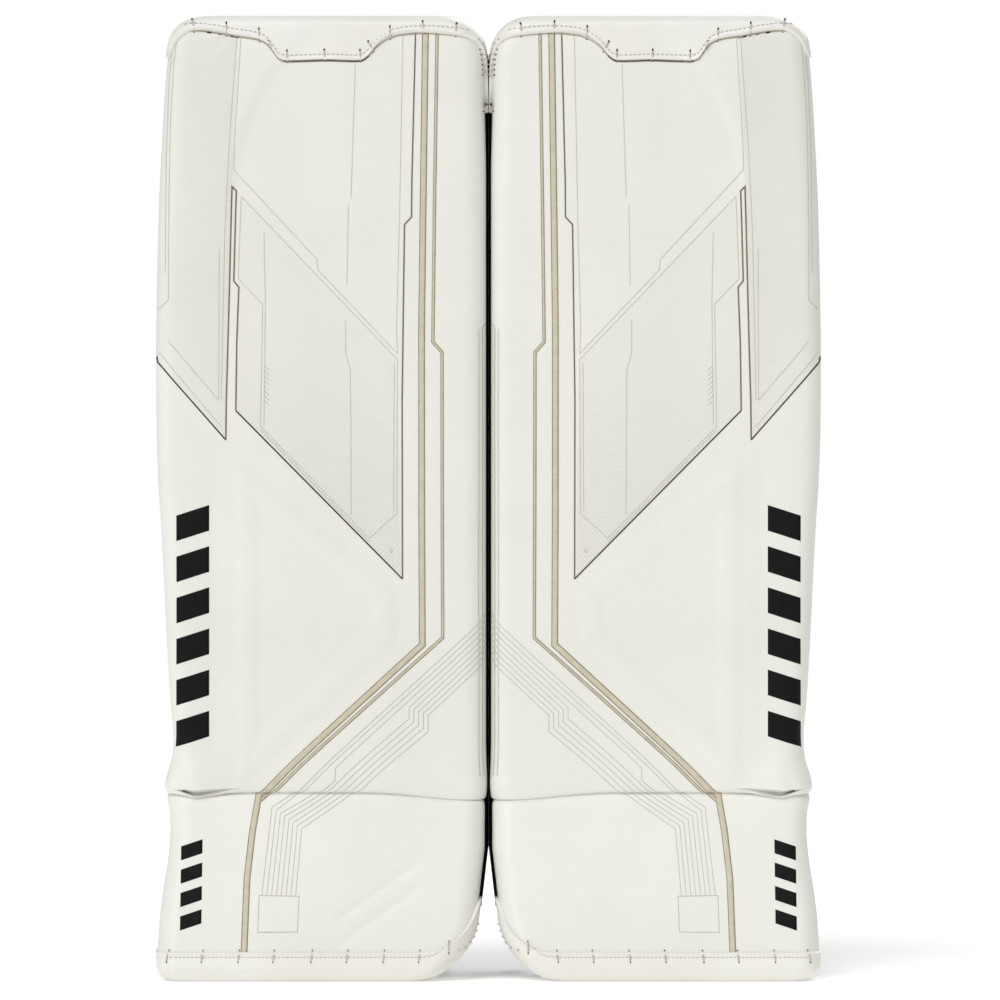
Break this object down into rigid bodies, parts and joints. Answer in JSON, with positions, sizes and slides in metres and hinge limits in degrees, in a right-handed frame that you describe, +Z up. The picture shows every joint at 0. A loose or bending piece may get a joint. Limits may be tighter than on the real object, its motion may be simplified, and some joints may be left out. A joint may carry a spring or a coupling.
{
  "type": "goalie leg pads",
  "caption": "Pair of flat-faced foam goalie leg pads with kicked toes, laced end bindings, leg wings and closing straps, standing side by side.",
  "frame": {"origin": "on the floor under the middle of the pair's bounding box", "axes": "+Z up along the pads' height, +Y from the face to the leg side, +X towards the wearer's left pad"},
  "size_m": [0.568, 0.233, 0.818],
  "materials": {
    "white_skin": "satin",
    "white_binding": "satin",
    "lace": "matte",
    "foam": "matte",
    "stiffener": "matte",
    "black_guard": "satin",
    "black_fabric": "matte",
    "grey_liner": "matte",
    "webbing": "matte",
    "tab_rubber": "satin",
    "eyelet_metal": "satin"
  },
  "bodies": {
    "left_boot": {"left_boot_core": "foam", "left_boot_cover": "white_skin", "left_toe_binding": "white_binding", "left_toe_laces": "lace", "left_inner_boot_wing": "black_fabric", "left_outer_boot_wing": "black_fabric", "left_toe_bridge": "black_fabric", "left_toe_bridge_eyelets": "eyelet_metal"},
    "left_instep_strap": {"left_boot_strap": "webbing"},
    "left_shin": {"left_shin_front_foam": "foam", "left_shin_stiffener": "stiffener", "left_shin_rear_foam": "foam", "left_shin_cover": "white_skin", "left_shin_edge_guard": "black_guard", "left_shin_cradle": "grey_liner", "left_knee_cradle": "grey_liner", "left_inner_calf_wing": "black_fabric"},
    "left_knee_block": {"left_knee_stack": "grey_liner", "left_knee_landing_cap": "black_guard"},
    "left_calf_wing": {"left_outer_calf_wing": "black_fabric"},
    "left_calf_closure": {"left_calf_strap": "webbing", "left_calf_strap_tab": "tab_rubber"},
    "left_knee_wing": {"left_outer_knee_wing": "black_fabric"},
    "left_knee_closure": {"left_knee_strap": "webbing", "left_knee_strap_tab": "tab_rubber"},
    "left_thigh": {"left_thigh_core": "foam", "left_thigh_cover": "white_skin", "left_thigh_edge_guard": "black_guard", "left_top_cap": "white_binding", "left_top_cap_laces": "lace"},
    "right_boot": {"right_boot_core": "foam", "right_boot_cover": "white_skin", "right_toe_binding": "white_binding", "right_toe_laces": "lace", "right_inner_boot_wing": "black_fabric", "right_outer_boot_wing": "black_fabric", "right_toe_bridge": "black_fabric", "right_toe_bridge_eyelets": "eyelet_metal"},
    "right_instep_strap": {"right_boot_strap": "webbing"},
    "right_shin": {"right_shin_front_foam": "foam", "right_shin_stiffener": "stiffener", "right_shin_rear_foam": "foam", "right_shin_cover": "white_skin", "right_shin_edge_guard": "black_guard", "right_shin_cradle": "grey_liner", "right_knee_cradle": "grey_liner", "right_inner_calf_wing": "black_fabric"},
    "right_knee_block": {"right_knee_stack": "grey_liner", "right_knee_landing_cap": "black_guard"},
    "right_calf_wing": {"right_outer_calf_wing": "black_fabric"},
    "right_calf_closure": {"right_calf_strap": "webbing", "right_calf_strap_tab": "tab_rubber"},
    "right_knee_wing": {"right_outer_knee_wing": "black_fabric"},
    "right_knee_closure": {"right_knee_strap": "webbing", "right_knee_strap_tab": "tab_rubber"},
    "right_thigh": {"right_thigh_core": "foam", "right_thigh_cover": "white_skin", "right_thigh_edge_guard": "black_guard", "right_top_cap": "white_binding", "right_top_cap_laces": "lace"}
  },
  "joints": [
    {"name": "pair_slide", "type": "slide", "parent": "right_boot", "child": "left_boot", "axis": [1, 0, 0], "range_m": [0, 0.4]},
    {"name": "right_boot_flex", "type": "hinge", "parent": "right_boot", "child": "right_shin", "pos_m": [-0.004, 0.00454, 0.15], "axis": [1, 0, 0], "range_deg": [-6, 12], "stiffness_Nm_per_rad": 100},
    {"name": "right_thigh_flex", "type": "hinge", "parent": "right_shin", "child": "right_thigh", "pos_m": [-0.004, -0.05746, 0.645], "axis": [-1, 0, 0], "range_deg": [-8, 10], "stiffness_Nm_per_rad": 30},
    {"name": "right_knee_block_pivot", "type": "hinge", "parent": "right_shin", "child": "right_knee_block", "pos_m": [-0.062, 0.00504, 0.56], "axis": [0, 0, 1], "range_deg": [0, 12], "stiffness_Nm_per_rad": 4},
    {"name": "right_calf_wing_swing", "type": "hinge", "parent": "right_shin", "child": "right_calf_wing", "pos_m": [-0.268, 0.00504, 0.325], "axis": [0, 0, 1], "range_deg": [0, 75]},
    {"name": "right_calf_strap_peel", "type": "hinge", "parent": "right_calf_wing", "child": "right_calf_closure", "pos_m": [-0.24, 0.11204, 0.325], "axis": [0, 0, 1], "range_deg": [0, 100]},
    {"name": "right_knee_wing_swing", "type": "hinge", "parent": "right_shin", "child": "right_knee_wing", "pos_m": [-0.268, 0.00504, 0.558], "axis": [0, 0, 1], "range_deg": [0, 60]},
    {"name": "right_knee_strap_peel", "type": "hinge", "parent": "right_knee_wing", "child": "right_knee_closure", "pos_m": [-0.24, 0.09404, 0.559], "axis": [0, 0, 1], "range_deg": [0, 100]},
    {"name": "right_boot_strap_peel", "type": "hinge", "parent": "right_boot", "child": "right_instep_strap", "pos_m": [-0.252, 0.05604, 0.095], "axis": [0, 0, 1], "range_deg": [0, 100]},
    {"name": "left_boot_flex", "type": "hinge", "parent": "left_boot", "child": "left_shin", "pos_m": [0.004, 0.00454, 0.15], "axis": [1, 0, 0], "range_deg": [-6, 12], "stiffness_Nm_per_rad": 100},
    {"name": "left_thigh_flex", "type": "hinge", "parent": "left_shin", "child": "left_thigh", "pos_m": [0.004, -0.05746, 0.645], "axis": [-1, 0, 0], "range_deg": [-8, 10], "stiffness_Nm_per_rad": 30},
    {"name": "left_knee_block_pivot", "type": "hinge", "parent": "left_shin", "child": "left_knee_block", "pos_m": [0.062, 0.00504, 0.56], "axis": [0, 0, -1], "range_deg": [0, 12], "stiffness_Nm_per_rad": 4},
    {"name": "left_calf_wing_swing", "type": "hinge", "parent": "left_shin", "child": "left_calf_wing", "pos_m": [0.268, 0.00504, 0.325], "axis": [0, 0, -1], "range_deg": [0, 75]},
    {"name": "left_calf_strap_peel", "type": "hinge", "parent": "left_calf_wing", "child": "left_calf_closure", "pos_m": [0.24, 0.11204, 0.325], "axis": [0, 0, -1], "range_deg": [0, 100]},
    {"name": "left_knee_wing_swing", "type": "hinge", "parent": "left_shin", "child": "left_knee_wing", "pos_m": [0.268, 0.00504, 0.558], "axis": [0, 0, -1], "range_deg": [0, 60]},
    {"name": "left_knee_strap_peel", "type": "hinge", "parent": "left_knee_wing", "child": "left_knee_closure", "pos_m": [0.24, 0.09404, 0.559], "axis": [0, 0, -1], "range_deg": [0, 100]},
    {"name": "left_boot_strap_peel", "type": "hinge", "parent": "left_boot", "child": "left_instep_strap", "pos_m": [0.252, 0.05604, 0.095], "axis": [0, 0, -1], "range_deg": [0, 100]}
  ]
}
